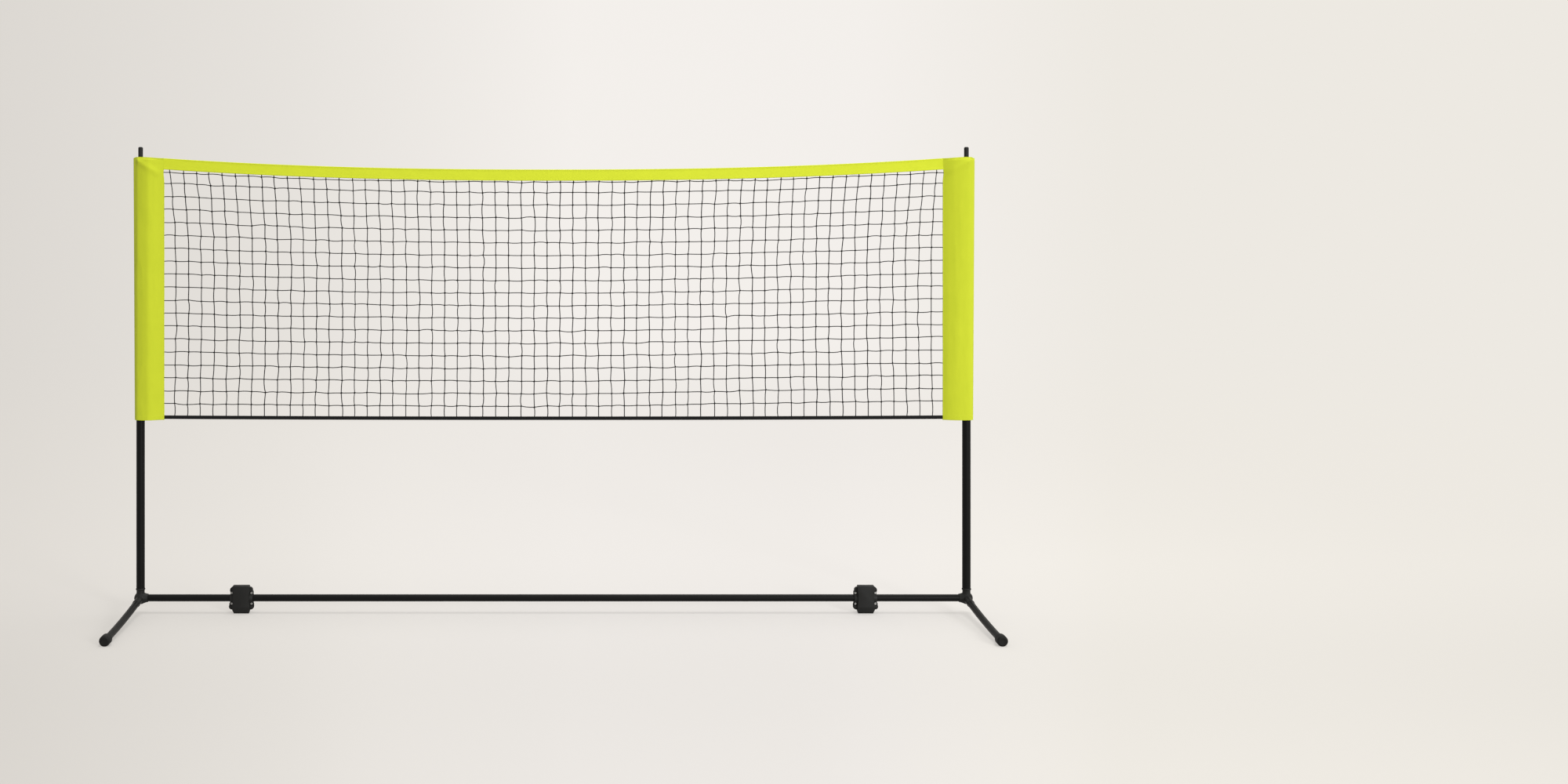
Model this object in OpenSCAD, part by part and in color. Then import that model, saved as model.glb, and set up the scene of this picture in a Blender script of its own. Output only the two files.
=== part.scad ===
// Free-standing volleyball net for the garden: a base tube and two corner connectors carry two
// telescopic poles, the net hangs between two cloth pole sleeves, two bowed legs reach forward
// and two clamp feet on the base tube hold the back down.
// The net's plane is X-Z. +Y points to the back, the legs reach to -Y. Millimetres.

/* [Net] */
// Distance between the two pole axes
pole_spacing = 3000; // [1600:50:4200]
// Height of the sleeves' top edge above the floor, at the highest setting
sleeve_top = 1655; // [1500:5:1900]
// Height of the sleeves, top edge to bottom edge
sleeve_h = 954; // [500:2:1100]
// Gaps drawn across the net
net_columns = 30; // [8:1:30]
// Gaps drawn down the net
net_rows = 10; // [4:1:10]
// Thickness of the net's cord
cord_d = 2.4; // [1.6:0.1:4]
// Height of the top tape
top_tape_h = 41; // [20:1:80]
// Sag of the top tape at mid span
top_sag = 41; // [0:1:90]
// Flatness of the tapes' bow at mid span, where 2 is a parabola
bow_power = 2.3; // [2:0.1:4]
// Drop from the sleeves' top edge to the top tape's ends
top_tape_drop = 4; // [0:1:20]
// Height of the bottom tape
bottom_tape_h = 13; // [8:1:40]
// Sag of the bottom tape at mid span
bottom_sag = 4; // [0:1:20]
// Rise from the sleeves' bottom edge to the bottom tape's ends
bottom_tape_rise = 3; // [0:1:20]
// Thickness of a folded tape
tape_t = 3; // [1.5:0.5:6]

/* [Pole sleeve] */
// Reach of the sleeve outward from the pole's axis
sleeve_out = 21; // [19:0.5:40]
// Reach of the sleeve inward from the pole's axis
sleeve_in = 86; // [60:1:140]
// Thickness of one layer of sleeve cloth
sleeve_wall = 1.2; // [0.8:0.1:2.5]
// Thickness of the sleeve's flat band, which is two layers sewn together
band_t = 3; // [1.6:0.2:6]
// Width of the sewn hem on the band's inner edge
hem_w = 8; // [4:1:15]
// Thickness of that hem
hem_t = 4; // [3:0.5:8]
// Reach of the pole pocket inward from the pole's axis
pocket_reach = 48; // [40:1:56]
// Thickness of the cloth that closes the sleeve's top
sleeve_cap_t = 2; // [1:0.5:4]

/* [Poles] */
// Outer diameter of a lower pole
lower_pole_d = 30; // [28:0.5:32]
// Wall of a lower pole
lower_pole_wall = 1.2; // [0.8:0.1:2]
// Length of a lower pole
lower_pole_len = 1040; // [900:10:1200]
// Outer diameter of an upper pole
upper_pole_d = 22; // [20:0.5:24]
// Wall of an upper pole
upper_pole_wall = 1; // [0.7:0.1:1.6]
// Diameter of the tip that stands out of the sleeve
tip_d = 16.7; // [12:0.1:18]
// Height of the tip above the pole's shoulder
tip_len = 39; // [20:1:60]
// Bevel at the end of the tip
tip_bevel = 3; // [1:0.5:5]
// How far the tip's neck, which fills the sleeve's eyelet, stands out beyond the tip
neck_out = 0.4; // [0.2:0.1:0.8]
// Length of the plugs pressed into an upper pole's ends
pole_plug_len = 28; // [15:1:50]

/* [Pole guide and twist lock] */
// Length of the guide bush inside a lower pole's mouth
guide_len = 60; // [30:2:100]
// Thickness of the guide's rim on the lower pole's end
guide_rim = 2.5; // [1.5:0.5:5]
// Length of the slit expander that grips the lower pole
expander_len = 36; // [28:1:50]
// Width of the expander's slits
expander_slit = 2; // [1:0.5:3]
// Diameter of the stem that carries the expander
stem_d = 8; // [6:0.5:10]
// Diameter of the cone at the foot of the stem
cone_d = 17; // [13:0.5:19]
// Height of that cone
cone_h = 16; // [10:1:22]

/* [Base tube] */
// Outer diameter of the base tube
base_d = 25.4; // [22:0.2:30]
// Wall of the base tube
base_wall = 1.2; // [0.8:0.1:2]
// Height of the base tube's axis above the floor
base_h = 54; // [48:1:70]
// Length of the middle section, without its drawn-in ends
middle_len = 1000; // [500:10:1200]
// Length of each drawn-in end that slips into an outer section
swage_len = 50; // [30:1:90]

/* [Corner connector] */
// Diameter of the connector's round body
hub_d = 45; // [42:0.5:52]
// Height of the pole's seat above the base tube's axis
pole_seat = 36; // [32:1:50]
// Distance from the pole's axis to the base tube's seat
tube_seat = 28; // [26:1:40]
// Distance from the body's centre to the leg's seat
leg_seat = 62; // [45:1:80]
// Height of the bead on each arm
bead_h = 7; // [4:0.5:9]
// How far a bead stands out beyond its tube
bead_out = 2; // [1:0.1:3]
// How far the collar at the base tube stands out beyond the tube
collar_out = 2.6; // [1.5:0.1:4]
// Length of the spigots inside the lower pole and the base tube
spigot_len = 45; // [30:1:80]
// Length of the spigot inside the leg, which is short because the leg is bent
leg_spigot_len = 30; // [20:1:34]
// Wall of the spigots
spigot_wall = 2.4; // [1.6:0.1:3.5]

/* [Leg and foot cap] */
// Outer diameter of a leg
leg_d = 24; // [20:0.5:26]
// Wall of a leg
leg_wall = 1.2; // [0.8:0.1:2]
// Reach of a leg, from the pole's axis to the middle of its foot cap
leg_reach = 430; // [350:5:600]
// Half of the angle that a leg is bent through
leg_bow = 2.5; // [1:0.5:5]
// Diameter of a foot cap
cap_d = 37; // [33:0.5:50]
// Length of a foot cap
cap_len = 38; // [30:1:60]
// Rounding of a foot cap's ends
cap_round = 7; // [3:0.5:9]
// Thickness of a foot cap's closed end
cap_floor = 8; // [4:1:12]
// Depth of the flat that a foot cap stands on
cap_flat = 0.6; // [0.3:0.1:1.5]
// Diameter of the shallow dish in a foot cap's closed end
cap_dish_d = 22; // [12:1:23]
// Depth of that dish
cap_dish = 1.2; // [0.5:0.1:3]

/* [Clamp foot] */
// Distance from a pole's axis to the middle of its clamp foot
clamp_inset = 368; // [200:4:600]
// Half width of the front pad
pad_half_w = 30.5; // [27:0.5:32]
// Height of the front pad above the base tube's axis
pad_up = 48; // [44:1:60]
// Depth of the front pad in front of the base tube's axis
pad_front = 22; // [20:0.5:30]
// Height of the front pad's turned-under lower edge
pad_curl = 28; // [16:1:32]
// Half width of the bolt flanges
flange_half_w = 41; // [40:0.5:43]
// Half width of the front flange at its lower ears
ear_half_w = 45; // [44:0.5:52]
// Rounding of the flanges' ears
ear_r = 10; // [5:0.5:11]
// Height of the front flange's upper ears above the bolts
upper_ear_rise = 22; // [16:0.5:24]
// Depth of the lower ears below the bolts
lower_ear_drop = 20; // [14:0.5:22]
// Thickness of the bolt flange of each half
flange_t = 11; // [7:0.5:14]
// Gap between the two halves
clamp_gap = 1; // [0.4:0.2:3]
// Wall of the saddle over the base tube
saddle_wall = 3.5; // [2:0.5:5]
// Distance of the bolts from the clamp's middle, along the tube
bolt_x = 36; // [34:0.5:37]
// Distance of the bolts above and below the tube's axis
bolt_z = 19.5; // [18.5:0.5:21]
// Thread diameter of the bolts
bolt_d = 5; // [4:0.5:5.5]
// Width across the flats of bolt heads and nuts
hex_af = 8; // [7.5:0.5:9]
// Height of a bolt head
head_h = 3.5; // [3:0.5:5]
// Width across the flats of the hexagon socket in a bolt head
socket_af = 4; // [3:0.5:4.5]
// Thickness of the front flange under a bolt head
bolt_web = 4; // [3:0.5:6]
// Diameter of the recess round a bolt head, which is open to the side
recess_d = 12.5; // [11:0.5:14]
// Height of a nut
nut_h = 4.5; // [4:0.5:6]
// Half width of the heel behind the tube
heel_half_w = 17; // [12:0.5:24]
// Reach of the heel behind the tube's axis
heel_reach = 38; // [30:1:60]

/* [Hidden] */
$fn = 96;
LEFT = -1;
RIGHT = 1;

// Clearances: pushed together, sliding, cloth over a moving part, resting
push_gap = 0.05;
slide_gap = 0.08;
bent_gap = 0.18; // round a leg, whose bend leaves the straight fit a little
cloth_gap = 0.8;
rest_gap = 0.2;
over = 1; // how far a cutting shape runs past the surface it cuts

// Net plane and pole places
pole_x = pole_spacing / 2;
net_half_w = pole_x - sleeve_in;
sleeve_bottom = sleeve_top - sleeve_h;
column_pitch = 2 * net_half_w / net_columns;

// Legs: straight out of the hub to the seat, then one even bend to the middle of the foot cap.
// The bend's radius follows from the chord, the straight length and the angle.
cap_axis_h = cap_d / 2 - cap_flat;
leg_turn = 2 * leg_bow;
leg_fall = atan2(base_h - cap_axis_h, leg_reach);
leg_chord = norm([base_h - cap_axis_h, leg_reach]);
leg_rise = 2 * sin(leg_bow);
leg_lead = leg_seat * sin(leg_turn);
leg_bend_r = (sqrt(pow(leg_lead, 2) + pow(leg_rise, 2) * (pow(leg_chord, 2) - pow(leg_seat, 2)))
    - leg_lead) / pow(leg_rise, 2);
hub_dip = leg_fall
    + atan2(leg_bend_r * (1 - cos(leg_turn)), leg_seat + leg_bend_r * sin(leg_turn));
cap_dip = hub_dip - leg_turn;
front_reach = leg_reach + cap_round + (cap_len / 2 - cap_round) * cos(cap_dip)
    + (cap_d / 2 - cap_round) * sin(cap_dip);
// The net's plane lies behind the middle of the footprint
net_y = (front_reach - heel_reach) / 2;

// Heights along a pole
pole_foot_z = base_h + pole_seat;
pole_mouth_z = pole_foot_z + lower_pole_len;
guide_foot_z = pole_mouth_z - guide_len;
plug_rim = 3;
upper_foot_z = guide_foot_z + plug_rim;
shoulder_z = sleeve_top - sleeve_cap_t - rest_gap;
upper_head_z = shoulder_z - plug_rim;
lower_bore = lower_pole_d - 2 * lower_pole_wall;
upper_bore = upper_pole_d - 2 * upper_pole_wall;
expander_d = lower_bore - 2 * slide_gap;

// Pole pocket in a sleeve
pocket_r = lower_pole_d / 2 + cloth_gap;
pocket_wall_r = pocket_r + sleeve_wall;

// A shape on one side of the net: origin under the pole's axis on the floor, +X outward
module on_side(side) {
    translate([0, net_y, 0])
        mirror([side == LEFT ? 1 : 0, 0, 0])
            translate([pole_x, 0, 0])
                children();
}

// A shape on the base tube's axis, in the middle of one clamp foot
module on_clamp(side) {
    on_side(side) translate([-clamp_inset, 0, base_h]) children();
}

// Turns a shape that runs up +Z so that it runs along +X
module along_x() {
    rotate([0, 90, 0]) children();
}

// Stands an outline drawn in X-Z up, from y = front to y = back
module upright(front, back) {
    translate([0, back, 0]) rotate([90, 0, 0]) linear_extrude(back - front) children();
}

module tube(d, wall, len) {
    difference() {
        cylinder(d = d, h = len);
        translate([0, 0, -over]) cylinder(d = d - 2 * wall, h = len + 2 * over);
    }
}

// Collar with a half-round edge
module bead(d, h) {
    rotate_extrude() {
        square([d / 2 - h / 2, h]);
        translate([d / 2 - h / 2, h / 2]) circle(d = h);
    }
}

// Mirrors a right-hand outline, listed from top to bottom, into a whole one
function both_halves(right) =
    concat(right, [for (i = [len(right) - 1 : -1 : 0]) [-right[i][0], right[i][1]]]);

// ---- Base tube -------------------------------------------------------------------------------

module base_tube_outer(side) {
    color("#1b1c1e")
    on_side(side) translate([middle_len / 2 - pole_x, 0, base_h])
        along_x() tube(base_d, base_wall, pole_x - tube_seat - middle_len / 2);
}

// The middle section's ends are drawn in to slip inside the outer sections
module base_tube_middle() {
    r = base_d / 2;
    swage_r = r - base_wall - push_gap;
    bore_r = swage_r - base_wall;
    half = middle_len / 2;
    color("#1b1c1e")
    translate([0, net_y, base_h]) along_x() difference() {
        union() {
            translate([0, 0, -half]) cylinder(r = r, h = middle_len);
            translate([0, 0, -half - swage_len]) cylinder(r = swage_r, h = middle_len + 2 * swage_len);
        }
        translate([0, 0, -half - swage_len - over])
            cylinder(r = bore_r, h = middle_len + 2 * (swage_len + over));
    }
}

// ---- Corner connector ------------------------------------------------------------------------

// One arm: neck, bead that the tube butts on, and the hollow spigot inside the tube
module arm(neck_d, bead_d, seat, spigot_d, length) {
    difference() {
        union() {
            cylinder(d = neck_d, h = seat - over);
            translate([0, 0, seat - bead_h]) bead(bead_d, bead_h);
            cylinder(d = spigot_d, h = seat + length);
        }
        translate([0, 0, seat]) cylinder(d = spigot_d - 2 * spigot_wall, h = length + over);
    }
}

module corner(side) {
    leg_bore = leg_d - 2 * leg_wall;
    base_bore = base_d - 2 * base_wall;
    collar_d = base_d + 2 * collar_out;
    color("#202124")
    on_side(side) translate([0, 0, base_h]) {
        sphere(d = hub_d);
        arm(lower_pole_d - lower_pole_wall, lower_pole_d + 2 * bead_out, pole_seat,
            lower_bore - 2 * push_gap, spigot_len);
        rotate([0, -90, 0]) {
            arm(collar_d, collar_d, tube_seat, base_bore - 2 * push_gap, spigot_len);
            cylinder(d1 = hub_d, d2 = base_d + collar_out, h = tube_seat);
        }
        rotate([90 + hub_dip, 0, 0])
            arm(leg_d + bead_out, leg_d + 2 * bead_out, leg_seat,
                leg_bore - 2 * bent_gap, leg_spigot_len);
    }
}

// ---- Legs ------------------------------------------------------------------------------------

// The leg's own frame: the hub's centre, +X along the leg where it leaves the hub, +Z up
module in_leg_frame(side) {
    on_side(side) translate([0, 0, base_h]) rotate([0, 0, -90]) rotate([0, hub_dip, 0]) children();
}

// The middle of the foot cap in the leg's frame, +X along the leg's end
module at_leg_end() {
    translate([leg_seat + leg_bend_r * sin(leg_turn), 0, leg_bend_r * (1 - cos(leg_turn))])
        rotate([0, -leg_turn, 0]) children();
}

module leg(side) {
    past_cap_middle = (cap_len / 2 - cap_floor) / leg_bend_r * 180 / PI;
    color("#3a3b3d")
    in_leg_frame(side) translate([leg_seat, 0, leg_bend_r]) rotate([90, 0, 0]) rotate([0, 0, -90])
        rotate_extrude(angle = leg_turn + past_cap_middle, $fn = 1440) translate([leg_bend_r, 0])
            difference() {
                circle(d = leg_d, $fn = 96);
                circle(d = leg_d - 2 * leg_wall, $fn = 96);
            }
}

module foot_cap(side) {
    color("#17181a")
    difference() {
        in_leg_frame(side) at_leg_end() translate([-cap_len / 2, 0, 0]) along_x() difference() {
            rotate_extrude() {
                square([cap_d / 2 - cap_round, cap_len]);
                translate([0, cap_round]) square([cap_d / 2, cap_len - 2 * cap_round]);
                for (z = [cap_round, cap_len - cap_round])
                    translate([cap_d / 2 - cap_round, z]) circle(r = cap_round);
            }
            translate([0, 0, -over])
                cylinder(d = leg_d + 2 * bent_gap, h = cap_len - cap_floor + over);
            translate([0, 0, cap_len - cap_dish]) cylinder(d = cap_dish_d, h = cap_dish + over);
        }
        // The flat that it stands on
        translate([-pole_spacing, -pole_spacing, -cap_d])
            cube([2 * pole_spacing, 2 * pole_spacing, cap_d]);
    }
}

// ---- Clamp feet ------------------------------------------------------------------------------

// Bolt flange with round ears, the upper ones this high above the tube's axis
module flange(front, back, lower_half_w, upper_ear_z) {
    lower_ear_z = bolt_z + lower_ear_drop;
    upright(front, back) {
        polygon(both_halves([
            [flange_half_w - ear_r, upper_ear_z], [flange_half_w, upper_ear_z - ear_r],
            [flange_half_w, 7 - bolt_z], [lower_half_w, -bolt_z],
            [lower_half_w, ear_r - lower_ear_z], [lower_half_w - ear_r, -lower_ear_z]
        ]));
        for (side = [LEFT, RIGHT]) {
            translate([side * (flange_half_w - ear_r), upper_ear_z - ear_r]) circle(r = ear_r);
            translate([side * (lower_half_w - ear_r), ear_r - lower_ear_z]) circle(r = ear_r);
        }
    }
}

// Recess round each bolt head, open to the side
module bolt_recesses() {
    for (x = [-bolt_x, bolt_x], z = [-bolt_z, bolt_z])
        translate([x, -clamp_gap / 2 - bolt_web, z]) rotate([90, 0, 0]) {
            cylinder(d = recess_d, h = pad_front);
            translate([x > 0 ? 0 : bolt_x - ear_half_w - over, -recess_d / 2, 0])
                cube([ear_half_w - bolt_x + over, recess_d, pad_front]);
        }
}

// Bore for the base tube and the four bolt holes
module clamp_bores() {
    translate([-ear_half_w - over, 0, 0]) along_x()
        cylinder(d = base_d + 2 * push_gap, h = 2 * (ear_half_w + over));
    at_bolts() translate([0, 0, -heel_reach])
        cylinder(d = bolt_d + 2 * rest_gap, h = 2 * heel_reach);
}

// Each bolt's axis, with +Z to the back
module at_bolts() {
    for (x = [-bolt_x, bolt_x], z = [-bolt_z, bolt_z])
        translate([x, 0, z]) rotate([-90, 0, 0]) children();
}

module saddle(from_y, to_y) {
    intersection() {
        translate([-flange_half_w, 0, 0]) along_x()
            cylinder(d = base_d + 2 * (push_gap + saddle_wall), h = 2 * flange_half_w);
        translate([-flange_half_w, from_y, -base_d])
            cube([2 * flange_half_w, to_y - from_y, 2 * base_d]);
    }
}

module clamp_front(side) {
    back = -clamp_gap / 2;
    waist = pad_half_w - 2;
    hip = pad_half_w + 1;
    color("#232427")
    on_clamp(side) difference() {
        union() {
            intersection() {
                upright(-pad_front, back) polygon(both_halves([
                    [pad_half_w - 2, pad_up], [pad_half_w, pad_up - 4], [pad_half_w, 30],
                    [waist, bolt_z], [waist, 2 - bolt_z], [hip, -31],
                    [hip, 12 - base_h], [hip - 4.5, -base_h]
                ]));
                // Side view: a small bevel on top, and the lower edge turned under
                translate([-pole_x, 0, 0]) along_x() linear_extrude(pole_spacing) union() {
                    polygon([
                        [2 - pad_up, -pad_front], [-pad_up, 2 - pad_front], [-pad_up, back],
                        [base_h, back], [base_h, -pad_front / 2], [base_h - pad_curl, -pad_front]
                    ]);
                    intersection() {
                        translate([base_h - pad_curl, pad_curl - pad_front]) circle(r = pad_curl);
                        translate([0, -pad_front]) square([base_h, pad_front + back]);
                    }
                }
            }
            flange(-clamp_gap / 2 - flange_t, back, ear_half_w, bolt_z + upper_ear_rise);
            saddle(-base_d, back);
        }
        clamp_bores();
        bolt_recesses();
    }
}

module clamp_rear(side) {
    front = clamp_gap / 2;
    color("#232427")
    on_clamp(side) difference() {
        union() {
            flange(front, front + flange_t, flange_half_w, bolt_z + ear_r);
            saddle(front, base_d);
            // Heel, seen from the side
            translate([-heel_half_w, 0, 0]) along_x() linear_extrude(2 * heel_half_w) polygon([
                [base_h, front], [base_h, heel_reach], [base_h - 9, heel_reach],
                [-8, base_d / 2 + saddle_wall], [-26, front + flange_t], [-26, front]
            ]);
        }
        clamp_bores();
    }
}

module clamp_bolts(side) {
    seat = clamp_gap / 2 + bolt_web;
    end = clamp_gap / 2 + flange_t + nut_h + 2;
    color("silver")
    on_clamp(side) at_bolts() difference() {
        union() {
            translate([0, 0, -seat - head_h]) cylinder(d = hex_af / cos(30), h = head_h, $fn = 6);
            translate([0, 0, -seat - over]) cylinder(d = bolt_d, h = seat + over + end);
        }
        translate([0, 0, -seat - head_h - over])
            cylinder(d = socket_af / cos(30), h = head_h / 2 + over, $fn = 6);
    }
}

module clamp_nuts(side) {
    seat = clamp_gap / 2 + flange_t;
    color("silver")
    on_clamp(side) at_bolts() translate([0, 0, seat]) difference() {
        cylinder(d = hex_af / cos(30), h = nut_h, $fn = 6);
        translate([0, 0, -over]) cylinder(d = bolt_d + 2 * push_gap, h = nut_h + 2 * over);
    }
}

// ---- Poles -----------------------------------------------------------------------------------

module lower_pole(side) {
    color("#1b1c1e")
    on_side(side) translate([0, 0, pole_foot_z]) tube(lower_pole_d, lower_pole_wall, lower_pole_len);
}

// Bush in the lower pole's mouth that the upper pole runs in
module pole_guide(side) {
    lead = 1;
    color("#2a2b2d")
    on_side(side) translate([0, 0, guide_foot_z]) difference() {
        union() {
            cylinder(d = lower_bore - 2 * push_gap, h = guide_len);
            translate([0, 0, guide_len]) cylinder(d = lower_pole_d, h = guide_rim);
        }
        translate([0, 0, -over])
            cylinder(d = upper_pole_d + 2 * slide_gap, h = guide_len + guide_rim + 2 * over);
        translate([0, 0, guide_len + guide_rim - lead])
            cylinder(d1 = upper_pole_d + 2 * slide_gap, d2 = upper_pole_d + 2 * (slide_gap + lead),
                     h = lead + 0.01);
    }
}

module upper_pole(side) {
    color("#1b1c1e")
    on_side(side) translate([0, 0, upper_foot_z])
        tube(upper_pole_d, upper_pole_wall, upper_head_z - upper_foot_z);
}

// Plug with a shoulder that carries the sleeve and a tip that passes through it
module pole_tip(side) {
    plug_r = upper_bore / 2 - push_gap;
    tip_r = tip_d / 2;
    neck_h = rest_gap + sleeve_cap_t + 0.5;
    color("#141517")
    on_side(side) translate([0, 0, upper_head_z]) rotate_extrude() polygon([
        [0, -pole_plug_len], [plug_r - 1, -pole_plug_len], [plug_r, 1 - pole_plug_len], [plug_r, 0],
        [upper_pole_d / 2, 0], [upper_pole_d / 2, plug_rim], [tip_r + neck_out, plug_rim],
        [tip_r + neck_out, plug_rim + neck_h], [tip_r, plug_rim + neck_h],
        [tip_r, plug_rim + tip_len - tip_bevel], [tip_r - tip_bevel, plug_rim + tip_len],
        [0, plug_rim + tip_len]
    ]);
}

// Plug in the upper pole's foot, with the stem and cone that spread the expander when twisted
module lock_cone(side) {
    plug_r = upper_bore / 2 - push_gap;
    color("#2a2b2d")
    on_side(side) translate([0, 0, upper_foot_z]) rotate_extrude() polygon([
        [0, pole_plug_len], [plug_r, pole_plug_len], [plug_r, 0], [upper_pole_d / 2, 0],
        [upper_pole_d / 2, -plug_rim], [stem_d / 2, -plug_rim],
        [stem_d / 2, cone_h - plug_rim - expander_len], [cone_d / 2, -plug_rim - expander_len],
        [0, -plug_rim - expander_len]
    ]);
}

// Slit plug around the stem; it grips the lower pole and stops under the guide
module lock_expander(side) {
    ease = 0.3;
    crown = 8; // left uncut above the slits
    cone_top = cone_h + ease;
    color("#6a6b6d")
    on_side(side) translate([0, 0, guide_foot_z - expander_len]) difference() {
        cylinder(d = expander_d, h = expander_len - rest_gap);
        translate([0, 0, -over]) cylinder(d = stem_d + 2 * ease, h = expander_len + 2 * over);
        cylinder(d1 = cone_d + 2 * ease, d2 = stem_d + 2 * ease, h = cone_top);
        translate([0, 0, -over]) cylinder(d = cone_d + 2 * ease, h = over + 0.01);
        for (turn = [0, 90])
            rotate(turn) translate([-expander_d, -expander_slit / 2, -over])
                cube([2 * expander_d, expander_slit, expander_len - crown + over]);
    }
}

// ---- Cloth and net ---------------------------------------------------------------------------

// Round with a pointed tail towards -X, tangent on both sides
module teardrop(r, tail) {
    half = acos(r / tail);
    circle(r = r);
    polygon([
        [-r * cos(half), r * sin(half)], [-tail, 0], [-r * cos(half), -r * sin(half)]
    ]);
}

module sleeve_outline() {
    teardrop(pocket_wall_r, pocket_reach);
    translate([-sleeve_in, -band_t / 2]) square([sleeve_in - pocket_r, band_t]);
    translate([-sleeve_in, -hem_t / 2]) square([hem_w, hem_t]);
    translate([0, -band_t / 2]) square([sleeve_out, band_t]);
}

module sleeve(side) {
    tail_wall = 4 * sleeve_wall;
    color("#c3d436")
    on_side(side) translate([0, 0, sleeve_bottom]) difference() {
        linear_extrude(sleeve_h) sleeve_outline();
        translate([0, 0, -over])
            linear_extrude(sleeve_h - sleeve_cap_t + over) teardrop(pocket_r, pocket_reach - tail_wall);
        cylinder(d = tip_d + 2 * (neck_out + rest_gap), h = sleeve_h + over);
    }
}

// Heights of the tapes' edges across the net: a shallow bow with its low point at mid span
function column_x(i) = -net_half_w + i * column_pitch;
function bow(x) = 1 - pow(abs(x) / net_half_w, bow_power);
function top_edge(x) = sleeve_top - top_tape_drop - top_sag * bow(x);
function net_head(x) = top_edge(x) - top_tape_h - rest_gap;
function bottom_edge(x) = sleeve_bottom + bottom_tape_rise - bottom_sag * bow(x);
function net_foot(x) = bottom_edge(x) + bottom_tape_h + rest_gap;

// Outline between two bowed edges, from column to column
module strip(low, high) {
    polygon(concat(
        [for (i = [0 : net_columns]) [column_x(i), high[i]]],
        [for (i = [net_columns : -1 : 0]) [column_x(i), low[i]]]
    ));
}

module top_tape() {
    high = [for (i = [0 : net_columns]) top_edge(column_x(i))];
    color("#cddb40")
    translate([0, net_y, 0]) upright(-tape_t / 2, tape_t / 2)
        strip([for (z = high) z - top_tape_h], high);
}

module bottom_tape() {
    low = [for (i = [0 : net_columns]) bottom_edge(column_x(i))];
    color("#1a1a1a")
    translate([0, net_y, 0]) upright(-tape_t / 2, tape_t / 2)
        strip(low, [for (z = low) z + bottom_tape_h]);
}

// Height of one line of cord at a column: the lines fan evenly from the tape to the lower tape
function line_z(row, x) =
    net_head(x) - cord_d / 2 + (net_foot(x) - net_head(x) + cord_d) * row / net_rows;

module net_mesh() {
    half = cord_d / 2;
    foot = [for (i = [0 : net_columns]) line_z(net_rows, column_x(i)) - half];
    head = [for (i = [0 : net_columns]) line_z(0, column_x(i)) + half];
    color("#151515")
    translate([0, net_y, 0]) upright(-half, half) difference() {
        strip(foot, head);
        for (i = [0 : net_columns - 1], row = [0 : net_rows - 1]) {
            left = column_x(i) + (i == 0 ? cord_d : half);
            right = column_x(i + 1) - (i == net_columns - 1 ? cord_d : half);
            polygon([
                [left, line_z(row, left) - half], [right, line_z(row, right) - half],
                [right, line_z(row + 1, right) + half], [left, line_z(row + 1, left) + half]
            ]);
        }
    }
}

base_tube_outer(LEFT);  // base_tube_left
base_tube_middle();
base_tube_outer(RIGHT);  // base_tube_right
corner(LEFT);  // corner_left
corner(RIGHT);  // corner_right
leg(LEFT);  // leg_left
leg(RIGHT);  // leg_right
foot_cap(LEFT);  // foot_cap_left
foot_cap(RIGHT);  // foot_cap_right
clamp_front(LEFT);  // clamp_front_left
clamp_front(RIGHT);  // clamp_front_right
clamp_rear(LEFT);  // clamp_rear_left
clamp_rear(RIGHT);  // clamp_rear_right
clamp_bolts(LEFT);  // clamp_bolts_left
clamp_bolts(RIGHT);  // clamp_bolts_right
clamp_nuts(LEFT);  // clamp_nuts_left
clamp_nuts(RIGHT);  // clamp_nuts_right
lower_pole(LEFT);  // lower_pole_left
lower_pole(RIGHT);  // lower_pole_right
pole_guide(LEFT);  // pole_guide_left
pole_guide(RIGHT);  // pole_guide_right
lock_expander(LEFT);  // lock_expander_left
lock_expander(RIGHT);  // lock_expander_right
lock_cone(LEFT);  // lock_cone_left
lock_cone(RIGHT);  // lock_cone_right
upper_pole(LEFT);  // upper_pole_left
upper_pole(RIGHT);  // upper_pole_right
pole_tip(LEFT);  // pole_tip_left
pole_tip(RIGHT);  // pole_tip_right
sleeve(LEFT);  // sleeve_left
sleeve(RIGHT);  // sleeve_right
top_tape();
bottom_tape();
net_mesh();
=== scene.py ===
"""Free-standing garden net on two telescopic poles: the finish of every piece.

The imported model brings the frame: tubes, poles and locks keep their places and get their coats
here. Mouldings are copied from it and softened. Cloth, tapes and the knotted net are made new.
Metres. The net's plane is X-Z, +Y is the back, and the legs reach forward, to -Y.
"""

import math
import random

import bmesh
import bpy
from mathutils import Matrix, Vector, noise


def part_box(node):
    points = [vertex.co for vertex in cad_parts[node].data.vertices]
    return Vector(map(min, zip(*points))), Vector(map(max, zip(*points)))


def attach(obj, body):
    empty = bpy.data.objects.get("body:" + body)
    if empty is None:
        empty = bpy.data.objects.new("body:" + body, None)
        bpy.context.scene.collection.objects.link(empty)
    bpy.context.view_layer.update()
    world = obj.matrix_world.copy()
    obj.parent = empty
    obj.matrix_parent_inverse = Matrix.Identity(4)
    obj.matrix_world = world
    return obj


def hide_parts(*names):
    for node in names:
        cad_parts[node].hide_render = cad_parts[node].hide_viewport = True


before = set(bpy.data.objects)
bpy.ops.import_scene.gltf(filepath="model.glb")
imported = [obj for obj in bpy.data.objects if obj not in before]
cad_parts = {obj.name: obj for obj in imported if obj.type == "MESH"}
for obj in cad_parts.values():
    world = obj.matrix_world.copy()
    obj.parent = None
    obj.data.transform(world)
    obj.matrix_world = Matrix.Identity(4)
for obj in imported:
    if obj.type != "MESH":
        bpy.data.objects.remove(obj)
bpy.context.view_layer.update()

# ---- Viewpoint -------------------------------------------------------------------------------
# A level camera square to the net, 5.5 m in front of it and a little below the top tape. The lens
# is shifted, because the net stands left of the picture's middle and low in it.

net_low, net_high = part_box("net_mesh")
net_y = (net_low.y + net_high.y) / 2
camera_back = 5.5
camera_height = 1.4
focal_px = 1931
picture_px = 2000

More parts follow.
